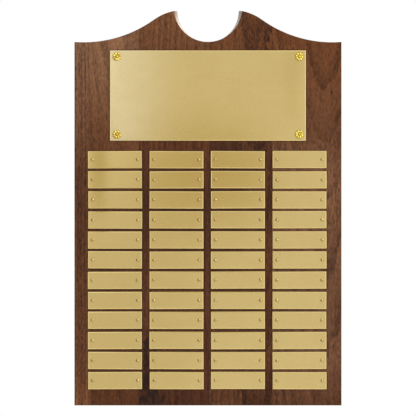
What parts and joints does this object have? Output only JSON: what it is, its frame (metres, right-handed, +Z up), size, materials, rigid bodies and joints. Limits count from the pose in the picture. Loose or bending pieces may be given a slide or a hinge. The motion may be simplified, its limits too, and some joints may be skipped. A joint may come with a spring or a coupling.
{
  "type": "wall plaque",
  "caption": "Upright walnut wall plaque with an ogee crest and a half-round notch, a large blank brass header plate with rosettes, and a grid of small pinned brass name plates.",
  "frame": {"origin": "on the back face, in the plane of the wall, midway between the two wall screws that the plaque hangs on", "axes": "+Z up the plaque, along the grain; +Y out of the back, into the wall; the plates face -Y; +X to the right seen from the front"},
  "size_m": [0.343, 0.0214, 0.5074],
  "materials": {
    "walnut_streaked": "satin oiled walnut, fine open pores",
    "walnut_warm": "satin oiled walnut, warm brown",
    "walnut_dark": "satin oiled walnut, dark heartwood streak",
    "walnut_mid": "satin oiled walnut",
    "satin_brass_header": "satin, fine brushing along its length",
    "satin_brass": "satin, fine brushing along its length",
    "bright_brass": "bright stamped yellow brass",
    "brass_pins": "polished",
    "zinc_plated_steel": "bright zinc plate",
    "screw_steel": "zinc plate"
  },
  "bodies": {
    "root": {"stave_1": "walnut_streaked", "stave_2": "walnut_warm", "stave_3": "walnut_dark", "stave_4": "walnut_mid", "stave_5": "walnut_dark", "stave_6": "walnut_mid", "header_plate": "satin_brass_header", "rosettes": "bright_brass", "rosette_nails": "bright_brass", "name_plate_r01_c1": "satin_brass", "name_plate_r01_c2": "satin_brass", "name_plate_r01_c3": "satin_brass", "name_plate_r01_c4": "satin_brass", "name_plate_r02_c1": "satin_brass", "name_plate_r02_c2": "satin_brass", "name_plate_r02_c3": "satin_brass", "name_plate_r02_c4": "satin_brass", "name_plate_r03_c1": "satin_brass", "name_plate_r03_c2": "satin_brass", "name_plate_r03_c3": "satin_brass", "name_plate_r03_c4": "satin_brass", "name_plate_r04_c1": "satin_brass", "name_plate_r04_c2": "satin_brass", "name_plate_r04_c3": "satin_brass", "name_plate_r04_c4": "satin_brass", "name_plate_r05_c1": "satin_brass", "name_plate_r05_c2": "satin_brass", "name_plate_r05_c3": "satin_brass", "name_plate_r05_c4": "satin_brass", "name_plate_r06_c1": "satin_brass", "name_plate_r06_c2": "satin_brass", "name_plate_r06_c3": "satin_brass", "name_plate_r06_c4": "satin_brass", "name_plate_r07_c1": "satin_brass", "name_plate_r07_c2": "satin_brass", "name_plate_r07_c3": "satin_brass", "name_plate_r07_c4": "satin_brass", "name_plate_r08_c1": "satin_brass", "name_plate_r08_c2": "satin_brass", "name_plate_r08_c3": "satin_brass", "name_plate_r08_c4": "satin_brass", "name_plate_r09_c1": "satin_brass", "name_plate_r09_c2": "satin_brass", "name_plate_r09_c3": "satin_brass", "name_plate_r09_c4": "satin_brass", "name_plate_r10_c1": "satin_brass", "name_plate_r10_c2": "satin_brass", "name_plate_r10_c3": "satin_brass", "name_plate_r10_c4": "satin_brass", "name_plate_r11_c1": "satin_brass", "name_plate_r11_c2": "satin_brass", "name_plate_r11_c3": "satin_brass", "name_plate_r11_c4": "satin_brass", "name_plate_r12_c1": "satin_brass", "name_plate_r12_c2": "satin_brass", "name_plate_r12_c3": "satin_brass", "name_plate_r12_c4": "satin_brass", "escutcheon_pins": "brass_pins", "keyhole_hangers": "zinc_plated_steel", "hanger_screws": "screw_steel"}
  },
  "joints": []
}
